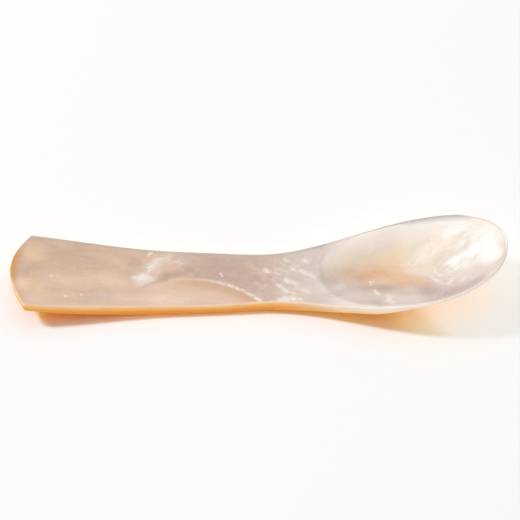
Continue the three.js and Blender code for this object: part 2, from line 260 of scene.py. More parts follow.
class SpoonForm:
    """The spoon's outline and surfaces, worked out from the sizes in the panel."""

    def __init__(self, sizes):
        self.sizes = sizes
        self.neck_x = CAD_BOX[0].x + sizes.handle_length
        self.corner_x = CAD_BOX[0].x + sizes.end_crown
        self.shoulder_x = self.neck_x - sizes.shoulder_back
        self.waist_x = self.neck_x - sizes.waist_back
        self.low_x = self.neck_x - sizes.low_back
        self.belly_x = self.neck_x + sizes.belly_ahead
        self.widest_x = self.neck_x + sizes.widest_ahead
        self.tip_x = self.neck_x + sizes.bowl_length
        self.hollow_back_x = self.neck_x + sizes.hollow_back_ahead
        self.hollow_front_x = self.tip_x - sizes.rim_width
        self.hollow_centre = Vector(((self.hollow_back_x + self.hollow_front_x) / 2, 0.0))
        self.hollow_half_length = (self.hollow_front_x - self.hollow_back_x) / 2
        self.seam_x = self.hollow_back_x + SEAM_AHEAD * sizes.rim_width
        self.seam_bow = SEAM_BOW * sizes.rim_width
        self.side_line = smooth_through([
            (self.corner_x, sizes.end_width / 2),
            (self.shoulder_x, sizes.shoulder_width / 2),
            (self.waist_x, sizes.waist_width / 2),
            (self.neck_x, sizes.neck_width / 2),
            (self.widest_x, sizes.bowl_width / 2),
        ])
        self.handle_thickness = smooth_through([
            (self.corner_x, sizes.end_thickness),
            (self.shoulder_x, sizes.handle_thickness),
            (self.low_x, sizes.neck_thickness),
        ])
        self.pearl_thickness = smooth_through([
            (self.neck_x, sizes.pearl_on_handle),
            (self.widest_x, sizes.pearl_at_rim),
        ])

    def half_width(self, x):
        """Half of the outline's width: a full quarter oval past the widest place."""
        if x > self.widest_x:
            fullness = self.sizes.tip_fullness
            return self.sizes.bowl_width / 2 * (1 - self.tip_share(x) ** fullness) ** (1 / fullness)
        return self.side_line(x)

    def tip_share(self, x):
        """How far a place is from the bowl's greatest width to its tip, from 0 to 1."""
        return min(1.0, max(0.0, (x - self.widest_x) / (self.tip_x - self.widest_x)))

    def lean_at(self, x):
        """How far the outline's middle is off the X axis."""
        return self.sizes.tip_lean * self.tip_share(x) ** 2

    def front_oval(self, turn, inset):
        """The front of the outline in plan, inside it by inset. turn goes round from the tip towards +Y."""
        along, across = math.cos(turn), math.sin(turn)
        power = 2 / self.sizes.tip_fullness
        x = mix(self.widest_x, self.tip_x - inset, along ** power)
        half = (self.sizes.bowl_width / 2 - inset) * abs(across) ** power
        return Vector((x, math.copysign(half, across) + self.lean_at(x)))

    def top_height(self, x):
        """Height of the top face, without the hollow."""
        run = x - self.low_x
        low = self.sizes.neck_thickness
        if run < 0:
            return low + arc_rise(run, self.sizes.handle_sweep)
        curved = min(run, self.widest_x - self.low_x)
        slope = curved / math.sqrt(self.sizes.bowl_sweep ** 2 - curved ** 2)
        return low + arc_rise(curved, self.sizes.bowl_sweep) + slope * (run - curved)

    def hollow_drop(self, share, fading=0.0):
        """Depth of the hollow's bed, for a share of the way from its middle to its edge."""
        return self.sizes.hollow_depth * max(0.0, 1 - share ** self.sizes.hollow_fullness) ** (1 + fading)

    def fading_at(self, turn):
        """How softly the hollow begins at a turn round it: its edge fades out at the back of its far side."""
        return self.sizes.lip_fading * ease(*FADING_STARTS, turn) * ease(*FADING_ENDS, turn)

    def soft_lip(self, drop):
        """A drop, negative outside the lip, that eases off over it instead of ending in a crease."""
        return (drop + math.hypot(drop, self.sizes.lip_rounding)) / 2

    def keel_height(self, x):
        """Height of the underside on the middle line. The wall thins to the rim's at the tip."""
        if x < self.low_x:
            return self.top_height(x) - self.handle_thickness(x)

        def bowl_keel(place):
            share = min(1.0, abs(place - self.hollow_centre.x) / self.hollow_half_length)
            near_tip = ease(self.widest_x, self.tip_x, place)
            wall = mix(self.sizes.bowl_wall, self.sizes.front_rim_wall, near_tip)
            return self.top_height(place) - wall - self.hollow_drop(share)

        if x > self.belly_x:
            return bowl_keel(x)
        return mix(0.0, bowl_keel(self.belly_x), ease(self.low_x, self.belly_x, x))

    def blank_thickness(self, x, side):
        """Thickness before the hollow is ground out. A slab on the handle turns into a round belly, which is
        flatter and has a thinner rim at the front."""
        middle = self.top_height(x) - self.keel_height(x)
        belly = ease(self.waist_x, self.belly_x, x)
        if belly == 0:
            return middle
        front = ease(self.belly_x, self.widest_x, x)
        rim = mix(self.sizes.rim_wall, self.sizes.front_rim_wall, front)
        into_round = max(0.0, abs(side) - (1 - belly)) / belly
        drop = mix(1 - ellipse_share(into_round), into_round ** self.sizes.belly_fullness, front)
        return middle - belly * (middle - rim) * drop

    def hollow_edge(self, turn):
        """The hollow's edge in plan. turn goes round from the tip towards +Y."""
        along, across = math.cos(turn), math.sin(turn)
        sizes = self.sizes
        if along >= 0:
            return self.front_oval(turn, sizes.rim_width)
        x = mix(self.widest_x, self.hollow_back_x, -along)
        short = max(0.0, 1 - (x - self.hollow_back_x) / sizes.hollow_back_round)
        rounding = max(0.0, 1 - short ** sizes.hollow_back_square) ** (1 / sizes.hollow_back_square)
        half = (self.side_line(x) - sizes.rim_width) * rounding
        return Vector((x, math.copysign(half, across) + sizes.hollow_skew * along * along))

    def outer_edge(self, turn, inset):
        """The outline round the bowl, closed at the back by the seam with the handle's faces."""
        along, across = math.cos(turn), math.sin(turn)
        if along >= 0:
            return self.front_oval(turn, inset)
        past_seam = (turn - SEAM_TURN) / (FULL_TURN - 2 * SEAM_TURN)
        if 0 <= past_seam <= 1:
            return self.handle_place(0, 1 - 2 * past_seam, inset)
        x = mix(self.widest_x, self.seam_x, along / math.cos(SEAM_TURN))
        return Vector((x, math.copysign(self.half_width(x) - inset, across)))

    def row_end(self, row, inset):
        """Where a row of the handle's faces ends, inside the outline by inset: its X and half of its width.
        The last rows go round the end's corners."""
        radius = self.sizes.end_corner_radius
        last_x = self.corner_x + radius
        if row <= HANDLE_ROWS:
            x = mix(self.seam_x, last_x, row / HANDLE_ROWS)
            return x, self.side_line(x) - inset
        turn = (row - HANDLE_ROWS) / CORNER_ROWS * math.pi / 2
        half = self.side_line(last_x) - radius + (radius - inset) * math.cos(turn)
        return last_x - (radius - inset) * math.sin(turn), half

    def handle_place(self, row, side, inset):
        """A point of the handle in plan. Rows bow back round the hollow and out with the handle's end."""
        x, half = self.row_end(row, inset)
        near_end = max(0.0, 1 - (x - self.corner_x) / (self.shoulder_x - self.corner_x))
        near_bowl = ease(self.waist_x, self.seam_x, x)
        bow = self.sizes.end_crown * near_end ** 2 + self.seam_bow * near_bowl
        return Vector((x - bow * (1 - side * side), side * half))


# The flat pattern from which both layers are shaped: a disc for the bowl, a strip for the handle and loops of
# edges round both. One unit is one ring or one row of faces. The upper sheet is at Z = 0 with its loops just
# below it, and the lower sheet and its loops are one unit lower.

Spot = namedtuple("Spot", "ring turn row side edge lower")


def spot_of(point):
    """Which ring and turn of the disc, or row and side of the strip, a point of the pattern is.
    edge goes from 0 on the sheet to 1 on the outermost loop."""
    lower = point.z < -HALF_FACE
    edge = round(-(point.z + lower) / EDGE_STEP) / EDGE_STEPS
    reach = math.hypot(point.x, point.y)
    if reach < BOWL_RINGS + EDGE_STEP:
        return Spot(round(reach), math.atan2(point.y, point.x) % FULL_TURN, None, None, edge, lower)
    turn = math.pi - math.asin(max(-1.0, min(1.0, point.y / BOWL_RINGS)))
    row = round(BOWL_RINGS * math.cos(turn) - point.x)
    side = 1 - 2 * (turn - SEAM_TURN) / (FULL_TURN - 2 * SEAM_TURN)
    return Spot(None, turn, row, side, edge, lower)


def select_edges(piece, wanted):
    """In edit mode, selects the edges that pass a test and nothing else."""
    bpy.ops.mesh.select_mode(type="EDGE")
    bpy.ops.mesh.select_all(action="DESELECT")
    mesh = bmesh.from_edit_mesh(piece.data)
    for edge in mesh.edges:
        edge.select_set(wanted(edge))
    mesh.select_flush_mode()
    bmesh.update_edit_mesh(piece.data)


def grow_ring(old, new):
    """Extrudes the selected ring of edges to another ring of the pattern."""
    bpy.ops.mesh.extrude_edges_indiv()
    bpy.ops.transform.resize(value=(new / old, new / old, 1), center_override=(0, 0, 0))


def grow_rows(count, step):
    """Extrudes the selected edges again and again by one step."""
    for _ in range(count):
        bpy.ops.mesh.extrude_edges_indiv()
        bpy.ops.transform.translate(value=step)


def flat_pattern(name):
    """The closed pattern as a new object."""
    bpy.ops.object.select_all(action="DESELECT")
    bpy.ops.mesh.primitive_circle_add(
        vertices=SPOKES, radius=HOLLOW_RINGS, fill_type="NOTHING", rotation=(0, 0, -math.pi / 2))
    bpy.ops.object.transform_apply(location=True, rotation=True, scale=True)
    piece = bpy.context.object
    piece.name = name
    piece.data.name = name
    bpy.ops.object.mode_set(mode="EDIT")

    select_edges(piece, lambda edge: True)
    for ring in range(HOLLOW_RINGS, 1, -1):
        grow_ring(ring, ring - 1)
    bpy.ops.mesh.extrude_edges_indiv()
    bpy.ops.mesh.merge(type="CENTER")

    select_edges(piece, lambda edge: edge.is_boundary)
    for ring in range(HOLLOW_RINGS, BOWL_RINGS):
        grow_ring(ring, ring + 1)

    seam = BOWL_RINGS * math.cos(SEAM_TURN) + EDGE_STEP
    select_edges(piece, lambda edge: edge.is_boundary and all(v.co.x < seam for v in edge.verts))
    grow_rows(ALL_ROWS, (-1, 0, 0))

    select_edges(piece, lambda edge: edge.is_boundary)
    grow_rows(EDGE_STEPS, (0, 0, -EDGE_STEP))

    bpy.ops.mesh.select_all(action="SELECT")
    bpy.ops.mesh.extrude_region_move(TRANSFORM_OT_translate={"value": (0, 0, -1)})
    bpy.ops.object.mode_set(mode="OBJECT")
    return piece


def shape_layer(piece, upper, lower, form):
    """Moves the pattern's points to their places on the spoon and smooths the faces. Marks each point with
    its distance in from the outline and its depth below the top face, in millimetres."""
    inland = piece.data.attributes.new("inland", "FLOAT", "POINT")
    below = piece.data.attributes.new("below", "FLOAT", "POINT")
    for vertex in piece.data.vertices:
        spot = spot_of(vertex.co)
        vertex.co = lower(spot) if spot.lower else upper(spot)
        inland.data[vertex.index].value = inland_of(form, spot) / MM
        below.data[vertex.index].value = (form.top_height(vertex.co.x) - vertex.co.z) / MM
    bpy.ops.object.mode_set(mode="EDIT")
    bpy.ops.mesh.select_all(action="SELECT")
    bpy.ops.mesh.normals_make_consistent(inside=False)
    bpy.ops.object.mode_set(mode="OBJECT")
    bpy.ops.object.shade_smooth_by_angle(angle=SMOOTH_ANGLE)


def inland_of(form, spot):
    """About how far a spot is from the outline, in plan."""
    if spot.row is None:
        outer = form.outer_edge(spot.turn, 0.0)
        reach = (outer - plan_of(form, spot, 0.0)[0]).length
        seam = abs(spot.turn - math.pi) < math.pi - SEAM_TURN
        return reach + form.half_width(outer.x) - abs(outer.y) if seam else reach
    x, half = form.row_end(spot.row, 0.0)
    return min(half * (1 - abs(spot.side)), x - form.corner_x)


def hollow_share(ring):
    """How far a ring is from the hollow's middle to its edge. Rings crowd together at the lip."""
    return 1 - (1 - ring / HOLLOW_RINGS) ** LIP_CROWDING


def plan_of(form, spot, inset):
    """Plan position of a spot on the upper face, and the depth of the hollow there."""
    if spot.row is not None:
        return form.handle_place(spot.row, spot.side, inset), -form.sizes.rim_width
    lip = form.hollow_edge(spot.turn)
    if spot.ring <= HOLLOW_RINGS:
        share = hollow_share(spot.ring)
        return form.hollow_centre.lerp(lip, share), form.hollow_drop(share, form.fading_at(spot.turn))
    outwards = (spot.ring - HOLLOW_RINGS) / RIM_RINGS
    plan = lip.lerp(form.outer_edge(spot.turn, inset), outwards)
    return plan, -(plan - lip).length


def to_outline(form, spot, inset):
    """Plan position, depth of the hollow and drop of the edge, for a sheet that is rounded by inset."""
    plan, drop = plan_of(form, spot, inset)
    if spot.edge == 0:
        return plan, drop, 0.0
    turn = spot.edge * math.pi / 2
    outer, _ = plan_of(form, spot, 0.0)
    return plan.lerp(outer, math.sin(turn)), -form.sizes.rim_width, inset * (1 - math.cos(turn))


def top_point(form, spot):
    """A point of the nacre face."""
    plan, drop, rounded = to_outline(form, spot, form.sizes.top_rounding)
    return Vector((plan.x, plan.y, form.top_height(plan.x) - form.soft_lip(drop) - rounded))


def bond_point(form, spot):
    """A point where the two layers meet."""
    plan, drop, _ = to_outline(form, spot, form.sizes.top_rounding)
    nacre = min(form.pearl_thickness(plan.x), MOST_NACRE * form.blank_thickness(plan.x, 1.0))
    if drop > 0:
        nacre = max(nacre, drop + form.sizes.pearl_under_hollow)
    return Vector((plan.x, plan.y, form.top_height(plan.x) - nacre))


def under_point(form, spot):
    """A point of the golden underside, flat where it rests on the table."""
    if spot.row is None:
        outwards = math.sin(spot.ring / BOWL_RINGS * math.pi / 2)
        plan = form.hollow_centre.lerp(form.outer_edge(spot.turn, 0.0), outwards)
        half = form.half_width(plan.x)
        side = 1.0 if half == 0 else min(1.0, abs(plan.y - form.lean_at(plan.x)) / half)
        height = form.top_height(plan.x) - form.blank_thickness(plan.x, side)
        return Vector((plan.x, plan.y, max(0.0, height)))
    row_x, half = form.row_end(spot.row, 0.0)
    rounding = form.sizes.lower_rounding * ease(form.seam_x, form.waist_x, row_x)
    plan, _, rounded = to_outline(form, spot, rounding)
    x = plan.x if row_x > form.shoulder_x else row_x
    height = form.top_height(plan.x) - form.blank_thickness(x, abs(plan.y) / half)
    return Vector((plan.x, plan.y, max(0.0, height) + rounded))


# Shader nodes

WHITE = (1, 1, 1, 1)
NOISE_ROUGHNESS = 0.55
NOISE_MIDDLE = (0.5, 0.5, 0.5)
BEND_FINENESS = {"coarse_bend": 0.22, "fine_bend": 1.1}


class Graph:
    """Adds and joins the nodes of one node tree."""

    def __init__(self, tree):
        self.tree = tree

    def set(self, socket, value):
        if isinstance(value, bpy.types.NodeSocket):
            self.tree.links.new(value, socket)
        else:
            socket.default_value = value

    def node(self, kind, inputs=None, **settings):
        made = self.tree.nodes.new(kind)
        for name, value in settings.items():
            setattr(made, name, value)
        for key, value in (inputs or {}).items():
            self.set(made.inputs[key], value)
        return made

    def math(self, operation, *values):
        return self.node("ShaderNodeMath", dict(enumerate(values)), operation=operation).outputs[0]

    def vector(self, operation, *values, output="Vector"):
        made = self.node("ShaderNodeVectorMath", dict(enumerate(values)), operation=operation)
        return made.outputs[output]

    def scale(self, vector, factor):
        made = self.node("ShaderNodeVectorMath", {0: vector, "Scale": factor}, operation="SCALE")
        return made.outputs["Vector"]

    def turn_back(self, vector, angle):
        made = self.node("ShaderNodeVectorRotate", {"Vector": vector, "Angle": angle},
                         rotation_type="Z_AXIS", invert=True)
        return made.outputs["Vector"]

    def span(self, value, low, high, first=0.0, last=1.0):
        """first where the value is low, last where it is high, eased between them."""
        inputs = {"Value": value, "From Min": low, "From Max": high, "To Min": first, "To Max": last}
        return self.node("ShaderNodeMapRange", inputs, interpolation_type="SMOOTHSTEP").outputs["Result"]

    def noise(self, place, fineness, detail=2.0, output="Fac"):
        inputs = {"Vector": place, "Scale": fineness, "Detail": detail, "Roughness": NOISE_ROUGHNESS}
        return self.node("ShaderNodeTexNoise", inputs).outputs[output]

    def paint(self, share, below, above, mode="MIX"):
        made = self.node("ShaderNodeMix", {0: share, 6: below, 7: above}, data_type="RGBA", blend_type=mode)
        return made.outputs[2]

    def either(self, share, first, second):
        """The first shader where share is 0, the second where it is 1."""
        return self.node("ShaderNodeMixShader", {0: share, 1: first, 2: second}).outputs["Shader"]

    def attribute(self, name):
        return self.node("ShaderNodeAttribute", attribute_name=name).outputs["Fac"]

    def group(self, build, output, **inputs):
        """What a shared group gives for the values of its inputs. It is built when it is first used."""
        tree = bpy.data.node_groups.get(build.__name__) or build()
        return self.node("ShaderNodeGroup", inputs, node_tree=tree).outputs[output]


def linear(colour):
    """A panel colour as a shader colour."""
    return (*Color(colour).from_srgb_to_scene_linear(), 1.0)


def tints_of(look):
    """All colours of a panel group as shader colours."""
    return {name: linear(getattr(look, name)) for name in type(look).__annotations__}


def new_group(name, output, kind, **inputs):
    """An empty shader node group and its graph. A socket's kind is Float, Vector or Color."""
    tree = bpy.data.node_groups.new(name, "ShaderNodeTree")
    for socket, socket_kind in inputs.items():
        tree.interface.new_socket(name=socket, in_out="INPUT", socket_type="NodeSocket" + socket_kind)
    tree.interface.new_socket(name=output, in_out="OUTPUT", socket_type="NodeSocket" + kind)
    graph = Graph(tree)
    return tree, graph, graph.node("NodeGroupInput").outputs, graph.node("NodeGroupOutput").inputs[output]


def shell_place():
    """Group: the place on the shell in millimetres, bent a little so that no drawn edge is perfect."""
    tree, graph, given, result = new_group(
        "shell_place", "place", "Vector", coarse_bend="Float", fine_bend="Float")
    place = graph.scale(graph.node("ShaderNodeTexCoord").outputs["Object"], 1 / MM)
    for bend, fineness in BEND_FINENESS.items():
        wander = graph.vector("SUBTRACT", graph.noise(place, fineness, output="Color"), NOISE_MIDDLE)
        place = graph.vector("ADD", place, graph.scale(wander, given[bend]))
    graph.set(result, place)
    return tree


def soft_patch():
    """Group: an oval patch, 1 in its middle and 0 from its edge on. With softness 1 it fades all the way."""
    tree, graph, given, result = new_group(
        "soft_patch", "mask", "Float",
        place="Vector", centre="Vector", turn="Float", half_size="Vector", softness="Float")
    place = graph.vector("SUBTRACT", given["place"], given["centre"])
    scaled = graph.vector("DIVIDE", graph.turn_back(place, given["turn"]), given["half_size"])
    reach = graph.vector("LENGTH", graph.vector("MULTIPLY", scaled, (1, 1, 0)), output="Value")
    graph.set(result, graph.span(reach, 1.0, graph.math("SUBTRACT", 1.0, given["softness"])))
    return tree


def shell_streaks():
    """Group: long streaks that run one way, from 0 to 1."""
    tree, graph, given, result = new_group(
        "shell_streaks", "mask", "Float",
        place="Vector", turn="Float", length="Float", width="Float", low="Float", high="Float")
    size = graph.node("ShaderNodeCombineXYZ", {0: given["length"], 1: given["width"], 2: given["length"]})
    turned = graph.turn_back(given["place"], given["turn"])
    scaled = graph.vector("DIVIDE", turned, size.outputs["Vector"])
    streaks = graph.noise(scaled, fineness=1.0, detail=4.0)
    graph.set(result, graph.span(streaks, given["low"], given["high"]))
    return tree


# Colours of the cut edge: the depths below the top face between which one turns into the next, and the
# places along the spoon between which the handle's turn into the bowl's and those into the tip's. On the
# golden back they are its own colours; on the nacre face they are a painted glow of light through the thin
# edge.
EDGE_TINTS = ("sand", "straw", "gold", "cream", "butter")
HANDLE_STRAW = (-0.1, 0.5)
HANDLE_GOLD = (0.3, 1.3)
BOWL_BUTTER = (0.7, 1.8)
BOWL_STRAW = (1.3, 2.6)
TIP_BUTTER = (1.0, 3.0)
BOWL_EDGE = (2.0, 24.0)
TIP_EDGE = (22.0, 34.0)


def cut_edge():
    """Group: colours of the cut edge, by the depth below the top face and the place along the spoon."""
    tree, graph, given, result = new_group(
        "cut_edge", "colour", "Color", below="Float", along="Float", **dict.fromkeys(EDGE_TINTS, "Color"))
    below, along = given["below"], given["along"]
    handle = graph.paint(graph.span(below, *HANDLE_STRAW), given["sand"], given["straw"])
    handle = graph.paint(graph.span(below, *HANDLE_GOLD), handle, given["gold"])
    bowl = graph.paint(graph.span(below, *BOWL_BUTTER), given["cream"], given["butter"])
    bowl = graph.paint(graph.span(below, *BOWL_STRAW), bowl, given["straw"])
    tip = graph.paint(graph.span(below, *TIP_BUTTER), given["cream"], given["butter"])
    colour = graph.paint(graph.span(along, *BOWL_EDGE), handle, bowl)
    graph.set(result, graph.paint(graph.span(along, *TIP_EDGE), colour, tip))
    return tree


def cut_edge_colour(graph, below, along, look):
    """The cut edge's colours in a material."""
    tints = {name: colour for name, colour in tints_of(look).items() if name in EDGE_TINTS}
    return graph.group(cut_edge, "colour", below=below, along=along, **tints)


def new_material(name):
    """A new material, its graph and its Principled shader."""
    material = bpy.data.materials.new(name)
    material.use_nodes = True
    return material, Graph(material.node_tree), material.node_tree.nodes["Principled BSDF"]


# Tint of the light that comes through the shell: under the handle's end, then further along the spoon, each
# with the places between which it takes over
FIRST_GLOW = (0.78, 0.59, 0.20, 1)
FURTHER_GLOWS = (
    (-10.0, 8.0, (0.735, 0.61, 0.25, 1)),
    (21.5, 27.0, (0.838, 0.79, 0.655, 1)),
    (27.0, 32.5, (0.927, 0.938, 0.933, 1)),
)


def glow_in_shadow(material, graph, shader, along):
    """Lets tinted light through the thin shell on its way to the floor, more of it through the bowl."""
    glow = FIRST_GLOW
    for start, end, further in FURTHER_GLOWS:
        glow = graph.paint(graph.span(along, start, end), glow, further)
    through = graph.node("ShaderNodeBsdfTransparent", {"Color": glow})
    in_shadow = graph.node("ShaderNodeLightPath").outputs["Is Shadow Ray"]
    both = graph.either(in_shadow, shader.outputs["BSDF"], through.outputs["BSDF"])
    graph.set(material.node_tree.nodes["Material Output"].inputs["Surface"], both)


# Colours of the nacre face. Places and sizes are in millimetres and turns in degrees.

# Cloudy mottling of the handle and neck: tint and strength, then the streaks' turn, length and width, and the
# levels of the noise at which they begin and are full
CLOUDS = (
    ("peach", 0.45, -14, 7.0, 2.6, 0.45, 0.75),
    ("umber", 0.30, 10, 6.0, 2.2, 0.48, 0.78),
    ("lilac", 0.30, -30, 3.2, 1.3, 0.50, 0.75),
    ("peach", 0.30, 20, 2.2, 1.2, 0.48, 0.72),
)

# Patches: tint and strength, then X, Y, half length, half width, turn and, where it isn't 1, softness
HANDLE_PATCHES = (
    ("wheat", 0.90, -45.0, 4.8, 4.4, 3.8, 0),
    ("wheat", 0.70, -44.5, -4.6, 5.0, 4.6, 0),
    ("wheat", 0.95, -46.8, -3.6, 3.0, 2.8, 0),
    ("cream", 0.35, -46.6, -3.2, 2.0, 1.8, 0),
    ("umber", 0.30, -45.4, 0.6, 3.4, 1.4, 0),
    ("umber", 0.35, -37.0, 5.4, 12.0, 3.4, -3),
    ("rose", 0.40, -35.0, 9.2, 14.0, 1.8, -4),
    ("peach", 0.95, -38.0, -1.6, 9.0, 3.0, -4),
    ("peach", 0.95, -29.5, -1.4, 9.0, 3.6, -8),
    ("peach", 0.60, -40.0, -6.4, 9.0, 2.6, 4),
    ("peach", 0.80, -27.0, -6.0, 9.0, 3.0, 4),
    ("lilac", 0.30, -31.5, -5.4, 7.0, 2.0, 4),
    ("peach", 0.80, -36.0, -8.6, 12.0, 1.8, 4),
    ("peach", 0.90, -20.0, -5.6, 10.0, 3.0, 3),
    ("milk", 0.35, -17.5, -5.4, 6.0, 2.4, 0),
    ("rose", 0.45, -25.0, 4.6, 3.4, 2.6, 60),
    ("milk", 0.30, -21.0, 3.2, 7.0, 3.6, 58),
    ("milk", 0.80, -23.4, 0.0, 2.8, 1.9, 25),
    ("milk", 0.40, -22.6, -1.2, 3.4, 2.0, 30),
    ("milk", 0.50, -24.5, -0.1, 1.8, 1.3, 0),
    ("pearl", 0.55, -23.2, 0.1, 2.0, 1.3, 20),
    ("cream", 0.70, -21.6, -0.2, 1.8, 1.3, 10),
    ("peach", 0.80, -20.2, 1.7, 1.8, 0.9, 20),
    ("milk", 0.45, -21.6, 2.6, 1.7, 1.0, 75),
    ("milk", 0.45, -20.3, 4.8, 2.3, 1.0, 35),
    ("blush", 1.00, -21.8, 6.6, 1.1, 0.5, 50, 0.7),
    ("milk", 0.45, -18.0, 6.0, 2.4, 1.2, 40),
    ("milk", 0.35, -15.6, 4.3, 1.4, 0.8, 60),
    ("umber", 0.80, -17.6, 0.8, 4.8, 1.5, 18),
    ("umber", 0.70, -14.0, 2.8, 4.0, 1.3, 38),
    ("rose", 0.60, -8.0, 4.0, 9.0, 4.5, -8),
    ("dove", 0.25, -5.0, 6.4, 9.0, 1.8, -2),
    ("dove", 0.50, -15.0, 6.2, 4.0, 2.0, 0),
    ("dove", 0.45, -24.0, 6.4, 2.4, 1.6, 0),
    ("peach", 0.70, -44.6, -8.0, 4.0, 2.2, 0),
    ("umber", 0.60, 1.4, -0.2, 3.4, 2.4, -40),
    ("umber", 0.50, 2.4, -3.6, 2.6, 1.4, -30),
    ("milk", 0.60, 5.0, -6.0, 3.4, 1.4, 8),
)

# Milky flecks on the neck, all slanting one way: X, Y, half length, half width and strength
FLECKS = (
    (1.8, 2.0, 1.5, 0.9, 0.95),
    (3.9, 1.2, 1.6, 0.6, 0.40),
    (5.8, 4.6, 1.4, 0.7, 0.50),
    (7.1, 2.1, 1.1, 0.7, 0.80),
    (9.2, 1.1, 1.8, 0.8, 0.90),
    (10.8, 0.0, 1.8, 0.8, 0.75),
    (9.6, 4.1, 1.4, 0.7, 0.60),
    (6.0, -1.0, 1.6, 0.9, 0.75),
    (7.3, -1.7, 1.6, 0.8, 0.60),
    (4.4, -2.2, 1.5, 0.7, 0.85),
    (5.6, -3.6, 1.6, 0.8, 0.95),
    (7.2, -4.4, 0.9, 0.6, 0.50),
    (9.4, -3.8, 2.6, 0.8, 0.60),
    (4.6, -6.0, 1.0, 0.9, 0.90),
    (5.8, -5.8, 1.4, 1.1, 1.00),
    (7.2, -6.0, 1.5, 1.0, 1.00),
    (8.6, -6.2, 1.2, 0.8, 0.80),
    (0.4, -5.6, 0.8, 0.5, 0.90),
)
FLECK_TURN = -42

BOWL_PATCHES = (
    # Painted light: these two milk patches lighten the top of the far wall and the back of the hollow.
    ("milk", 0.80, 18.0, 7.2, 8.0, 3.6, 12),
    ("milk", 0.60, 15.0, 3.0, 4.0, 4.6, 0),
    ("oyster", 0.95, 43.4, 1.0, 9.5, 8.0, 0, 0.6),
    # Painted sheen: greenish patches in the bowl.
    ("sage", 0.80, 36.0, 3.2, 6.0, 3.6, 14),
    ("sage", 0.70, 36.8, -0.6, 3.8, 3.0, 0),
    ("peach", 0.60, 17.0, 1.4, 5.0, 2.8, 20),
    ("wheat", 0.40, 29.0, 5.0, 7.5, 3.4, -4),
    ("amber", 0.45, 26.5, 2.9, 10.5, 3.6, -4),
    ("amber", 0.90, 23.6, 1.3, 9.0, 3.2, 5),
    ("amber", 0.95, 29.4, -0.4, 6.4, 2.8, -18),
    ("umber", 0.90, 34.0, -4.0, 5.2, 2.6, -38),
    ("amber", 0.40, 33.2, -2.2, 3.6, 1.8, -40),
    ("umber", 0.95, 25.0, -2.0, 8.0, 2.4, 0),
    ("umber", 0.50, 29.5, -4.2, 4.0, 1.8, -10),
    # Painted shade on the right of the bowl's near wall.
    ("near_wall_shade", 1.00, 37.6, -8.6, 8.4, 4.8, 12),
    ("near_wall_shade", 0.70, 42.6, -7.4, 5.0, 2.8, 42),
    ("near_wall_shade", 0.85, 34.0, -5.8, 4.0, 2.4, -40),
    # Painted sheen on the near wall.
    ("lilac", 0.80, 43.0, -4.4, 4.4, 2.4, 36),
    ("milk", 0.45, 16.2, -2.4, 2.6, 1.5, 35),
    ("milk", 0.40, 13.6, -3.4, 3.8, 2.8, 0),
    ("milk", 0.35, 17.0, -7.6, 4.0, 2.6, -20),
    # Painted shade on the near wall.
    ("near_wall_shade", 0.45, 24.0, -8.0, 1.8, 4.6, 6),
    ("milk", 0.30, 18.6, -4.8, 4.6, 3.2, -20),
    ("milk", 0.45, 26.2, -6.6, 1.1, 3.6, 6, 0.7),
    # Painted sheen on the near wall.
    ("lilac", 0.40, 30.6, -8.6, 2.4, 4.4, 10, 0.7),
    ("milk", 0.60, 23.6, -3.2, 1.8, 0.6, -35),
    ("milk", 0.25, 26.6, -4.6, 1.6, 0.8, -30),
    # Painted highlights: white sheen patches over the bowl's front.
    ("pearl", 0.80, 45.4, 2.6, 4.6, 4.8, 0, 0.8),
    ("pearl", 0.75, 46.4, -0.9, 3.0, 3.0, 0, 0.8),
    ("pearl", 0.45, 43.6, 6.4, 3.4, 2.0, -30),
    ("pearl", 0.80, 39.8, 1.9, 2.6, 1.3, 24, 0.8),
    ("pearl", 0.75, 42.6, 2.4, 3.0, 1.8, 20, 0.8),
    ("pearl", 0.60, 40.6, 0.2, 3.4, 1.8, -20, 0.8),
    ("pearl", 0.40, 39.4, 8.0, 4.0, 1.9, -4),
    ("pearl", 0.95, 38.6, 7.8, 2.5, 1.6, 6, 0.9),
    ("pearl", 0.95, 40.4, 8.0, 2.3, 1.7, 0, 0.9),
    ("cream", 0.50, 38.5, -3.9, 1.3, 0.8, 60, 0.8),
    ("cream", 0.35, 40.6, -4.4, 1.3, 0.8, 45, 0.8),
    ("cream", 0.35, 29.6, 3.7, 1.7, 0.7, 28),
    # Painted sheen: a greenish patch on the far side.
    ("sage", 0.50, 31.6, 4.4, 6.0, 3.6, 36),
    ("umber", 0.30, 28.5, 0.0, 3.5, 1.6, -12),
    ("umber", 0.35, 20.8, 0.2, 2.2, 1.4, 0),
    ("peach", 0.45, 20.6, 2.6, 3.4, 1.8, 10),
    # Painted light: these two milk patches lighten the hollow's back edge and the top of its far wall.
    ("milk", 0.50, 14.2, 4.2, 4.0, 1.1, 62),
    ("milk", 0.80, 23.6, 8.2, 7.5, 3.8, 4),
    ("pearl", 0.90, 22.5, -0.1, 0.55, 0.4, 30),
    ("pearl", 0.70, 23.3, 0.1, 0.5, 0.3, -20),
    ("pearl", 0.60, 22.7, -0.7, 0.35, 0.5, 0),
)

# Small bright specks: X, Y and radius in millimetres
SPECKS = (
    (-41.2, -1.0, 0.58),
    (-38.1, -6.0, 0.55),
    (-35.1, -5.3, 0.42),
    (-7.4, 1.5, 0.50),
    (-7.1, 0.9, 0.35),
)

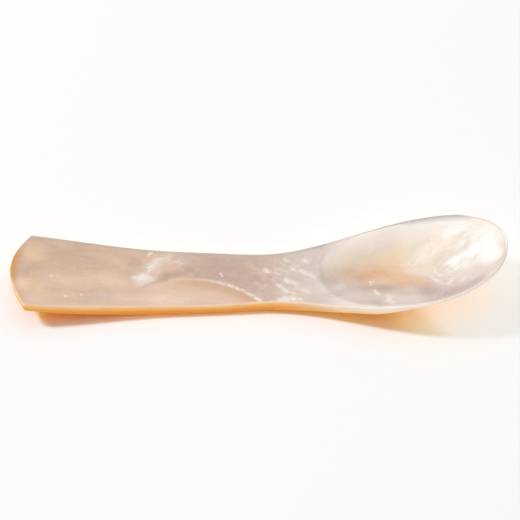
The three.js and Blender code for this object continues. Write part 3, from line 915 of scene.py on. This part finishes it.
# Streaks in an oval region: tint, strength and region, then as in the clouds. Regions are written as patches.
NECK = (6.0, -0.5, 11.0, 9.0, -25)
NECK_STREAKS = (
    ("milk", 0.28, NECK, FLECK_TURN, 3.4, 0.9, 0.46, 0.68),
    ("rose", 0.45, NECK, FLECK_TURN, 3.6, 0.7, 0.56, 0.70),
    ("cream", 0.40, NECK, FLECK_TURN, 1.5, 0.7, 0.48, 0.68),
)
HANDLE_STREAKS = (
    ("milk", 0.75, (-21.4, 2.8, 6.0, 2.4, 55), 38, 2.2, 0.55, 0.44, 0.60),
    ("milk", 0.40, (-16.6, 5.0, 3.4, 2.2, 20), 38, 2.2, 0.55, 0.44, 0.60),
    ("milk", 0.35, (-17.0, -5.2, 9.0, 2.8, 0), 0, 1.0, 0.9, 0.46, 0.66),
)
BOWL_FRONT = (41.5, 2.6, 8.5, 5.5, 24, 0.7)
BOWL_MIDDLE = (33.8, 5.0, 6.4, 3.4, 38)
BOWL_BACK = (36.8, -1.4, 5.2, 3.6, -40, 0.9)
# Painted highlights: streaks of white sheen in the bowl's front and back, which also raise its relief.
SHINE = ("pearl", 0.45, BOWL_FRONT, 30, 5.0, 0.9, 0.44, 0.66)
FEATHER = ("pearl", 0.50, BOWL_BACK, -48, 3.6, 0.8, 0.46, 0.66)
BOWL_STREAKS = (
    # Painted sheen: greenish streaks over the bowl's front.
    ("sage", 0.45, BOWL_FRONT, 34, 3.6, 0.8, 0.50, 0.66),
    SHINE,
    # Painted highlights in streaks over the bowl's middle.
    ("pearl", 0.42, BOWL_MIDDLE, 44, 1.7, 1.0, 0.40, 0.58),
    ("umber", 0.35, BOWL_BACK, -46, 3.0, 0.7, 0.52, 0.66),
    FEATHER,
    ("peach", 0.45, (27.0, 1.5, 9.0, 4.0, -10), -20, 4.0, 0.6, 0.48, 0.66),
    # Painted sheen: lilac streaks along the near wall.
    ("lilac", 0.50, (31.0, -8.5, 15.0, 5.0, 0), 86, 5.0, 0.5, 0.45, 0.70),
    # Painted shade in streaks along the near wall.
    ("near_wall_shade", 0.35, (34.0, -8.5, 13.0, 5.0, 0), 88, 5.0, 0.4, 0.52, 0.72),
)

# The growth arc across the handle: the centre and radius of its circle
ARC_CENTRE = (-13.7, -19.8, 0.0)
ARC_RADIUS = 20.0

# Depths below the top face at which the hollow's colours are full, at a sharp lip and at a soft one
SHARP_LIP = 0.12
SOFT_LIP = 0.9

# Where across the spoon the painted golden glow of the handle's end has its middle
GLOW_MIDDLE = 1.0

# Share of the feathery streaks in the relief of the nacre
FEATHER_RELIEF = 0.35


class NacreFigure:
    """Paints the nacre's colours one over the other. Its masks are sockets or numbers, from 0 to 1."""

    def __init__(self, graph, look):
        self.graph = graph
        self.tints = tints_of(look)
        self.colour = self.tints["tan"]
        self.bent = graph.group(shell_place, "place", coarse_bend=2.2, fine_bend=1.0)
        self.still = graph.group(shell_place, "place", coarse_bend=0.0, fine_bend=0.25)
        # What a span can measure, in millimetres
        self.along, self.across, _ = graph.node("ShaderNodeSeparateXYZ", {0: self.still}).outputs
        self.inland = graph.attribute("inland")
        self.below = graph.attribute("below")
        reach = graph.vector("LENGTH", graph.vector("SUBTRACT", self.still, ARC_CENTRE), output="Value")
        self.from_arc = graph.math("SUBTRACT", reach, ARC_RADIUS)
        self.off_arc = graph.math("ABSOLUTE", self.from_arc)
        self.off_glow = graph.math("ABSOLUTE", graph.math("SUBTRACT", self.across, GLOW_MIDDLE))

    def where(self, *masks, **spans):
        """All masks and spans together. A span is named after what it measures, such as along or inland. It
        gives the values where a colour begins and is full, then its shares there if they aren't 0 and 1."""
        masks += tuple(self.graph.span(getattr(self, name), *limits) for name, limits in spans.items())
        result = masks[0]
        for mask in masks[1:]:
            result = self.graph.math("MULTIPLY", result, mask)
        return result

    def cover(self, tint, strength, *masks, **spans):
        """Paints a tint over what is there, as much as all masks and spans together let it show."""
        self.colour = self.graph.paint(self.where(strength, *masks, **spans), self.colour, self.tints[tint])

    def dots(self, fineness, low, high, least):
        """A mask of small dots, with its least share between them."""
        return self.graph.span(self.graph.noise(self.still, fineness), low, high, first=least)

    def streaks(self, turn, long, wide, low, high):
        return self.graph.group(shell_streaks, "mask", place=self.bent, turn=math.radians(turn),
                                length=long, width=wide, low=low, high=high)

    def patch(self, x, y, long, wide, turn=0.0, softness=1.0, still=False):
        return self.graph.group(soft_patch, "mask", place=self.still if still else self.bent,
                                centre=(x, y, 0), turn=math.radians(turn), half_size=(long, wide, 1),
                                softness=softness)

    def streaks_in(self, region, *streaks):
        return self.where(self.streaks(*streaks), self.patch(*region))

    def cover_streaks(self, rows):
        for tint, strength, region, *streaks in rows:
            self.cover(tint, strength, self.streaks_in(region, *streaks))

    def cover_patches(self, rows):
        for tint, strength, *patch in rows:
            self.cover(tint, strength, self.patch(*patch))

    def lay_ground(self):
        """Tan handle, rose neck and dove rim. The hollow is cream on the far side and dove on the near one,
        painted light and shade, with more painted light at the top of the far wall. Its colours begin at its
        lip, softly at the back of the far side."""
        graph = self.graph
        back_lip = graph.span(self.along, 22, 14, first=SHARP_LIP, last=SOFT_LIP)
        lip = graph.span(self.across, -2, 4, first=SHARP_LIP, last=back_lip)
        in_hollow = self.where(below=(0, lip), inland=(0.25, 0.6))
        self.cover("rose", 1.0, along=(-20, -10))
        self.cover("dove", 1.0, along=(-1, 9))
        self.cover("rose", 0.7, along=(10, 16), across=(0, 4))
        self.cover("cream", 0.8, along=(12, 20), across=(-3, -7))
        # Painted light and shade: the hollow's near side is made darker and its far side lighter, most of all
        # at the top of the far wall.
        self.cover("dove", 1.0, in_hollow)
        self.cover("cream", 1.0, in_hollow, across=(-3, 4))
        self.cover("milk", 0.7, in_hollow, across=(6, 10))
        self.cover("pearl", 0.6, in_hollow, across=(7, 10.5), along=(22, 28))

    def lay_clouds(self):
        """Cloudy mottling of the handle and neck."""
        for tint, strength, *streaks in CLOUDS:
            self.cover(tint, strength, self.streaks(*streaks), along=(16, 8))

    def lay_growth_arc(self):
        """A paler lens below the arc, a darker band at its top, and its line: dark, plain, then beaded."""
        on_arc = self.where(self.where(along=(-26, -20)), along=(2, 0))
        self.cover("peach", 0.75, on_arc, from_arc=(0, -0.6))
        band = self.where(on_arc, self.where(from_arc=(-3.6, -1)), from_arc=(0.1, -0.6), along=(-21, -13))
        self.cover("amber", 0.74, band)
        self.cover("umber", 1.0, band, along=(-15, -6, 0.10, 0.36))
        line = self.where(on_arc, off_arc=(0.65, 0))
        beads = self.dots(fineness=1.6, low=0.30, high=0.56, least=0.25)
        self.cover("blush", 0.90, line, beads, along=(-14, -5))
        self.cover("wheat", 0.55, line, self.where(along=(-20, -16)), along=(-5, -13))
        self.cover("umber", 0.50, line, along=(-18, -22))

    def lay_flecks(self):
        """Milky flecks that slant over the neck, wisps on the handle and a few single specks."""
        self.cover_streaks(NECK_STREAKS)
        speckle = self.dots(fineness=2.4, low=0.32, high=0.56, least=0.45)
        for x, y, long, wide, strength in FLECKS:
            self.cover("milk", strength, self.patch(x, y, long, wide, FLECK_TURN, still=True), speckle)
        self.cover_streaks(HANDLE_STREAKS)
        for x, y, radius in SPECKS:
            self.cover("blush", 1.0, self.patch(x, y, radius, radius, still=True))

    def lay_edges(self, edge_look):
        """The cut edge, whose colours on the nacre are a painted glow, with more painted glow above it on the
        near side, a painted shade line inside the far edge, painted light on the tip's edge and a painted
        golden glow through the handle's end."""
        graph = self.graph
        # Painted glow: the nacre's own cut edge, and a band above it on the near side, take the golden edge
        # colours.
        at_edge = self.where(inland=(0.5, 0.1))
        near = self.where(at_edge, across=(1, -1), along=(16, 4))
        cut = graph.math("MAXIMUM", near, self.where(inland=(0.012, 0)))
        self.colour = graph.paint(cut, self.colour, cut_edge_colour(graph, self.below, self.along, edge_look))
        # Painted shade: a grey line just inside the far edge, wider towards the front and gone at the tip.
        line_width = graph.span(self.along, 25, 39, first=1.0, last=1.6)
        on_top = graph.math("MAXIMUM", self.where(below=(0.4, 0.2)), self.where(inland=(0, 0.1)))
        line = self.where(on_top, inland=(line_width, 0.4), across=(1, 3), along=(45.5, 41))
        self.cover("ash", 1.0, line, along=(4, 14, 0.30, 0.85))
        # Painted light: the tip's edge is lightened where its rounding faces away from the light.
        self.cover("pearl", 1.0, at_edge, along=(40, 44), across=(-3, 1))
        # Painted glow of light shining through the handle's thin end.
        self.cover("honey", 0.95, along=(-45, -47.5), inland=(1.8, 0.3), off_glow=(6, 2))


def nacre_material(look, edge_look):
    """Polished nacre: warm ground colours, soft milky patches, a growth arc with beads, and satin streaks.
    Some of its colour is painted light, shade, sheen and glow, in the bowl and along the edges.
    """
    material, graph, shader = new_material("nacre")
    figure = NacreFigure(graph, look)
    figure.lay_ground()
    figure.lay_clouds()
    figure.cover_patches(HANDLE_PATCHES + BOWL_PATCHES)
    figure.lay_growth_arc()
    figure.lay_flecks()
    figure.cover_streaks(BOWL_STREAKS)
    figure.lay_edges(edge_look)

    fine = figure.streaks(turn=-6, long=7.0, wide=0.5, low=0.30, high=0.70)
    darkest = graph.span(figure.along, 8, 16, first=0.975, last=0.995)
    shade = graph.span(fine, 0, 1, first=darkest, last=1.02)
    shades = graph.node("ShaderNodeCombineXYZ", {0: shade, 1: shade, 2: shade}).outputs["Vector"]
    graph.set(shader.inputs["Base Color"], graph.paint(1.0, figure.colour, shades, "MULTIPLY"))
    graph.set(shader.inputs["IOR"], 1.53)
    graph.set(shader.inputs["Specular IOR Level"], 0.3)
    graph.set(shader.inputs["Roughness"], graph.span(fine, 0, 1, first=0.54, last=0.44))
    feather = graph.math("ADD", figure.streaks_in(*FEATHER[2:]), figure.streaks_in(*SHINE[2:]))
    waves = graph.noise(figure.bent, fineness=0.28, detail=3.0)
    relief = graph.math("ADD", waves, figure.where(feather, FEATHER_RELIEF))
    bump = graph.node("ShaderNodeBump", {"Strength": 0.5, "Distance": 0.4 * MM, "Height": relief})
    graph.set(shader.inputs["Normal"], bump.outputs["Normal"])
    glow_in_shadow(material, graph, shader, figure.along)
    return material


# The golden layer: the depths at which its cut edge turns into its underside, the places along the spoon
# between which the underside pales, and the strength of its growth lines
UNDERSIDE = (2.4, 4.5)
PALER_UNDERSIDE = (24.0, 42.0)
LINE_STRENGTH = 0.14


def golden_material(look):
    """Golden shell: pale at the top of its cut edge, deeper below, with growth lines along it."""
    material, graph, shader = new_material("golden shell")
    tints = tints_of(look)
    place = graph.group(shell_place, "place", coarse_bend=0.6, fine_bend=0.3)
    along = graph.node("ShaderNodeSeparateXYZ", {0: place}).outputs["X"]
    below = graph.attribute("below")
    under = graph.paint(graph.span(along, *PALER_UNDERSIDE), tints["gold"], tints["straw"])
    edge = cut_edge_colour(graph, below, along, look)
    colour = graph.paint(graph.span(below, *UNDERSIDE), edge, under)
    lines = graph.group(shell_streaks, "mask", place=place, turn=0.0,
                        length=14.0, width=1.1, low=0.35, high=0.70)
    colour = graph.paint(graph.math("MULTIPLY", lines, LINE_STRENGTH), colour, tints["russet"])
    graph.set(shader.inputs["Base Color"], colour)
    graph.set(shader.inputs["IOR"], 1.6)
    graph.set(shader.inputs["Roughness"], graph.span(lines, 0, 1, first=0.30, last=0.42))
    glow_in_shadow(material, graph, shader, along)
    return material


def finish_piece(piece, material, node):
    """Gives a piece its material and its place in the frame."""
    piece.data.materials.clear()
    piece.data.materials.append(material)
    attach(piece, "root")
    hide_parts(node)


class SPOON_OT_nacre_face(bpy.types.Operator):
    """Models the nacre face with its hollow"""

    bl_idname = "spoon.nacre_face"
    bl_label = "Nacre face"

    def execute(self, context):
        form = SpoonForm(context.scene.spoon_shape)
        piece = flat_pattern("nacre_face")
        shape_layer(piece, lambda spot: top_point(form, spot), lambda spot: bond_point(form, spot), form)
        material = nacre_material(context.scene.nacre_look, context.scene.golden_look)
        finish_piece(piece, material, "pearl_layer")
        return {"FINISHED"}


class SPOON_OT_golden_back(bpy.types.Operator):
    """Models the golden back with its belly"""

    bl_idname = "spoon.golden_back"
    bl_label = "Golden back"

    def execute(self, context):
        form = SpoonForm(context.scene.spoon_shape)
        piece = flat_pattern("golden_back")
        shape_layer(piece, lambda spot: bond_point(form, spot), lambda spot: under_point(form, spot), form)
        material = golden_material(context.scene.golden_look)
        finish_piece(piece, material, "golden_layer")
        return {"FINISHED"}


# The stage

# Floor, sky and lamps, in metres
FLOOR_SIZE = 3.0
SKY_DIRECTION = Vector((0.1, 0.6, 0.8)).normalized()
KEY_DIRECTION = Vector((-1.05, 0.28, 1.0)).normalized()
KEY_DISTANCE = 4.0
KEY_SIZE = 0.6
FILL_DIRECTION = Vector((0.1, -1.0, 0.09)).normalized()
FILL_DISTANCE = 1.2
FILL_SIZE = 0.16

# The camera: its sensor in millimetres, the picture's width and scale in pixels, the place it looks at, how
# far the view is raised from there, and the share of its distance within which nothing is drawn
SENSOR = 36.0
PICTURE_WIDTH = 520
PIXELS_PER_MM = 4.98
VIEW_CENTRE = Vector((0.5, 0.0, 3.52)) * MM
RAISED_PIXELS = 15
NEAREST_SHARE = 0.01


class SPOON_OT_stage(bpy.types.Operator):
    """Sets the floor, the lights and the camera"""

    bl_idname = "spoon.stage"
    bl_label = "Stage"

    def execute(self, context):
        look = context.scene.stage_look
        context.scene.view_settings.view_transform = "Standard"
        self.lay_floor(look)
        self.hang_sky(context, look)
        self.hang_lamps(look)
        self.place_camera(context, look)
        return {"FINISHED"}

    def lay_floor(self, look):
        bpy.ops.object.select_all(action="DESELECT")
        bpy.ops.mesh.primitive_plane_add(size=FLOOR_SIZE)
        floor = bpy.context.object
        floor.name = "floor"
        material, _, shader = new_material("white floor")
        shader.inputs["Base Color"].default_value = linear(look.floor)
        shader.inputs["Roughness"].default_value = 1.0
        shader.inputs["Specular IOR Level"].default_value = 0.0
        floor.data.materials.append(material)

    def hang_sky(self, context, look):
        """A sky that lights the spoon from above and behind, and looks white all round."""
        world = bpy.data.worlds.new("soft sky")
        context.scene.world = world
        world.use_nodes = True
        graph = Graph(world.node_tree)
        outwards = graph.node("ShaderNodeTexCoord").outputs["Generated"]
        towards = graph.vector("DOT_PRODUCT", outwards, SKY_DIRECTION, output="Value")
        strength = graph.math("MULTIPLY", graph.math("MAXIMUM", towards, 0.0), look.sky)
        lit = world.node_tree.nodes["Background"]
        graph.set(lit.inputs["Color"], WHITE)
        graph.set(lit.inputs["Strength"], strength)
        seen = graph.node("ShaderNodeBackground", {"Color": WHITE, "Strength": 1.0})
        path = graph.node("ShaderNodeLightPath").outputs
        shown = graph.math("MAXIMUM", path["Is Camera Ray"], path["Is Transmission Ray"])
        shown = graph.math("MAXIMUM", shown, path["Is Glossy Ray"])
        both = graph.either(shown, lit.outputs["Background"], seen.outputs["Background"])
        graph.set(world.node_tree.nodes["World Output"].inputs["Surface"], both)

    def hang_lamps(self, look):
        """The key lamp, and a fill that lights only the spoon."""
        self.hang_lamp("key_light", KEY_DIRECTION, KEY_DISTANCE, KEY_SIZE, look.key_power)
        fill = self.hang_lamp("front_fill", FILL_DIRECTION, FILL_DISTANCE, FILL_SIZE, look.fill_power)
        lit_by_fill = bpy.data.collections.new("lit by front fill")
        for name in ("nacre_face", "golden_back"):
            lit_by_fill.objects.link(bpy.data.objects[name])
        fill.light_linking.receiver_collection = lit_by_fill

    def hang_lamp(self, name, direction, distance, size, power):
        bpy.ops.object.light_add(type="AREA")
        lamp = bpy.context.object
        lamp.name = name
        lamp.data.shape = "DISK"
        lamp.data.size = size
        lamp.data.energy = power
        lamp.location = VIEW_CENTRE + direction * distance
        lamp.rotation_euler = direction.to_track_quat("Z", "Y").to_euler()
        return lamp

    def place_camera(self, context, look):
        back = Vector((0, -math.cos(look.camera_height), math.sin(look.camera_height)))
        up = Vector((0, math.sin(look.camera_height), math.cos(look.camera_height)))
        target = VIEW_CENTRE + up * RAISED_PIXELS / PIXELS_PER_MM * MM
        bpy.ops.object.camera_add()
        camera = bpy.context.object
        camera.name = "camera"
        camera.data.sensor_width = SENSOR
        camera.data.lens = SENSOR * look.camera_distance / MM * PIXELS_PER_MM / PICTURE_WIDTH
        camera.data.clip_start = look.camera_distance * NEAREST_SHARE
        camera.location = target + back * look.camera_distance
        camera.rotation_euler = back.to_track_quat("Z", "Y").to_euler()
        context.scene.camera = camera


class SPOON_PT_panel(bpy.types.Panel):
    """The spoon's sizes, colours and steps"""

    bl_label = "Caviar spoon"
    bl_idname = "SPOON_PT_panel"
    bl_space_type = "VIEW_3D"
    bl_region_type = "UI"
    bl_category = "Spoon"

    def draw(self, context):
        for step in STEPS:
            self.layout.operator(step.bl_idname)
        for name, group in SETTINGS.items():
            box = self.layout.box()
            box.label(text=group.__doc__)
            for setting in group.__annotations__:
                box.prop(getattr(context.scene, name), setting)


SETTINGS = {
    "spoon_shape": SpoonShape,
    "nacre_look": NacreLook,
    "golden_look": GoldenLook,
    "stage_look": StageLook,
}
STEPS = (SPOON_OT_nacre_face, SPOON_OT_golden_back, SPOON_OT_stage)


def register():
    for name, group in SETTINGS.items():
        bpy.utils.register_class(group)
        setattr(bpy.types.Scene, name, bpy.props.PointerProperty(type=group))
    for step in STEPS:
        bpy.utils.register_class(step)
    bpy.utils.register_class(SPOON_PT_panel)


def unregister():
    bpy.utils.unregister_class(SPOON_PT_panel)
    for step in reversed(STEPS):
        bpy.utils.unregister_class(step)
    for name, group in reversed(SETTINGS.items()):
        delattr(bpy.types.Scene, name)
        bpy.utils.unregister_class(group)


def main():
    register()
    bpy.ops.spoon.nacre_face()
    bpy.ops.spoon.golden_back()
    bpy.ops.spoon.stage()


if __name__ == "__main__":
    main()
